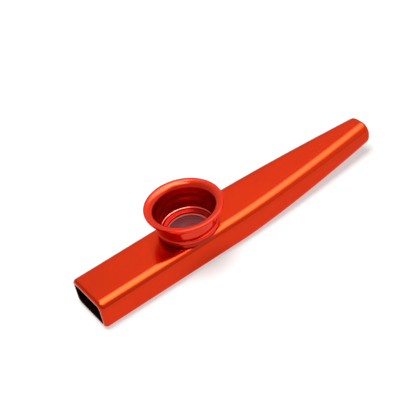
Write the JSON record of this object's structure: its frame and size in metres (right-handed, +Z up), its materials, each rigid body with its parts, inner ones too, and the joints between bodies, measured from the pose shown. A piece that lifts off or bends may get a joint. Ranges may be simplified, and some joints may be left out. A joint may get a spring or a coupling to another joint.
{
  "type": "kazoo",
  "caption": "Drawn metal kazoo: a flattened tube open at both ends, tapering to a narrow tip, with a flared screw-on horn that clamps a membrane over a hole in its roof.",
  "frame": {"origin": "Below the middle of the tube's length, in its plane of symmetry, on the plane it rests on.", "axes": "+X from the wide end to the narrow tip, +Z up through the horn, +Y to the side."},
  "size_m": [0.12, 0.0268, 0.022],
  "materials": {
    "anodised_tube": "red-orange anodised, satin gloss, bare at the cut edges of its rolled ends",
    "anodised_collar": "dark red anodised, turned",
    "anodised_horn": "red-orange anodised, turned and polished",
    "anodised_ring": "deep red anodised, turned",
    "hoop_plastic": "moulded plastic, pale red",
    "film": "thin translucent film, red-brown, slightly crinkled"
  },
  "bodies": {
    "body": {"body_tube": "anodised_tube", "turret_collar": "anodised_collar", "membrane_hoop": "hoop_plastic", "membrane_film": "film"},
    "ring": {"pressure_ring": "anodised_ring"},
    "horn": {"horn_cup": "anodised_horn"}
  },
  "joints": [
    {"name": "ring_lift", "type": "slide", "parent": "body", "child": "ring", "axis": [0, 0, 1], "range_m": [0, 0.00112]},
    {"name": "horn_turn", "type": "hinge", "parent": "ring", "child": "horn", "pos_m": [-0.0186, 0, 0.0165], "axis": [0, 0, 1], "range_deg": [0, 540]}
  ],
  "couplings": [
    {"joint": "ring_lift", "follows": "horn_turn", "m_per_rad": 0.00011937}
  ]
}
